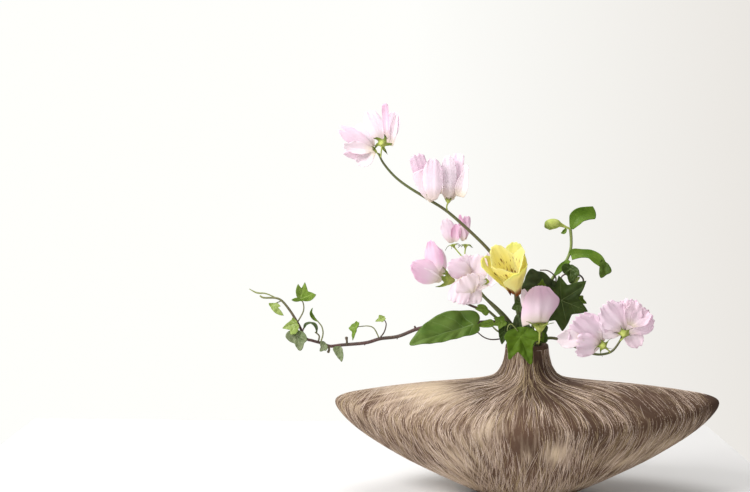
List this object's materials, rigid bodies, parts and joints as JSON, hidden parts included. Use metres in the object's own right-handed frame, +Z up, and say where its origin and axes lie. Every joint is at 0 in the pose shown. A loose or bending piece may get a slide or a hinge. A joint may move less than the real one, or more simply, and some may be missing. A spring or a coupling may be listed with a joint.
{
  "type": "ikebana arrangement in a vase",
  "caption": "Asymmetric ikebana of pale pink sweet peas, a yellow alstroemeria bloom, a leafy shoot and trailing ivy in a boat-shaped vase with a narrow neck.",
  "frame": {"origin": "centre of the vase's flat foot, on the surface it stands on", "axes": "+X along the vase's long axis, away from the trailing vine; +Y to the back; +Z up"},
  "size_m": [0.4853, 0.1704, 0.4039],
  "materials": {
    "clay_body": "matte",
    "petal_pink": "satin",
    "petal_cream": "satin",
    "flower_stem": "satin",
    "tepal_yellow": "satin",
    "anther_brown": "matte",
    "shoot_green": "satin",
    "leaf_green": "satin",
    "leaf_dark": "satin",
    "leaf_young": "satin",
    "vine_bark": "matte"
  },
  "bodies": {
    "root": {"alstroemeria_inner_tepal_1": "tepal_yellow", "alstroemeria_inner_tepal_2": "tepal_yellow", "alstroemeria_inner_tepal_3": "tepal_yellow", "alstroemeria_outer_tepal_1": "tepal_yellow", "alstroemeria_outer_tepal_2": "tepal_yellow", "alstroemeria_outer_tepal_3": "tepal_yellow", "alstroemeria_stamens": "anther_brown", "alstroemeria_stem": "flower_stem", "ivy_back_leaf": "leaf_dark", "ivy_big_leaf": "leaf_green", "ivy_curled_leaf": "leaf_dark", "ivy_front_leaf": "leaf_green", "ivy_grey_leaf": "leaf_green", "ivy_left_sprig": "vine_bark", "ivy_light_leaf": "leaf_young", "ivy_loop_leaf": "leaf_dark", "ivy_narrow_leaf": "leaf_young", "ivy_neck_leaf": "leaf_dark", "ivy_pointed_leaf": "leaf_green", "ivy_right_sprig": "vine_bark", "ivy_sprig_leaf": "leaf_young", "ivy_star_leaf": "leaf_dark", "ivy_thin_leaf": "leaf_young", "ivy_tiny_leaf": "leaf_young", "ivy_tip_leaf": "leaf_young", "ivy_upper_leaf": "leaf_young", "ivy_vine": "vine_bark", "shoot_bud": "shoot_green", "shoot_curved_leaf": "leaf_green", "shoot_sheath_leaf": "leaf_green", "shoot_stem": "shoot_green", "shoot_top_leaf": "leaf_green", "sweet_pea_back_1_banner": "petal_pink", "sweet_pea_back_2_banner": "petal_pink", "sweet_pea_back_2_wings": "petal_cream", "sweet_pea_back_3_banner": "petal_pink", "sweet_pea_back_stem": "flower_stem", "sweet_pea_front_banner": "petal_pink", "sweet_pea_front_stem": "flower_stem", "sweet_pea_front_wings": "petal_cream", "sweet_pea_left_1_banner": "petal_pink", "sweet_pea_left_1_wings": "petal_cream", "sweet_pea_left_2_banner": "petal_pink", "sweet_pea_left_2_wings": "petal_cream", "sweet_pea_left_stem": "flower_stem", "sweet_pea_long_1_banner": "petal_pink", "sweet_pea_long_1_wings": "petal_cream", "sweet_pea_long_2_banner": "petal_pink", "sweet_pea_long_2_wings": "petal_cream", "sweet_pea_long_3_banner": "petal_pink", "sweet_pea_long_3_wings": "petal_cream", "sweet_pea_long_4_banner": "petal_pink", "sweet_pea_long_4_wings": "petal_cream", "sweet_pea_long_stem": "flower_stem", "sweet_pea_right_1_banner": "petal_pink", "sweet_pea_right_1_wings": "petal_cream", "sweet_pea_right_2_banner": "petal_pink", "sweet_pea_right_2_wings": "petal_cream", "sweet_pea_right_stem": "flower_stem", "vase": "clay_body"}
  },
  "joints": []
}
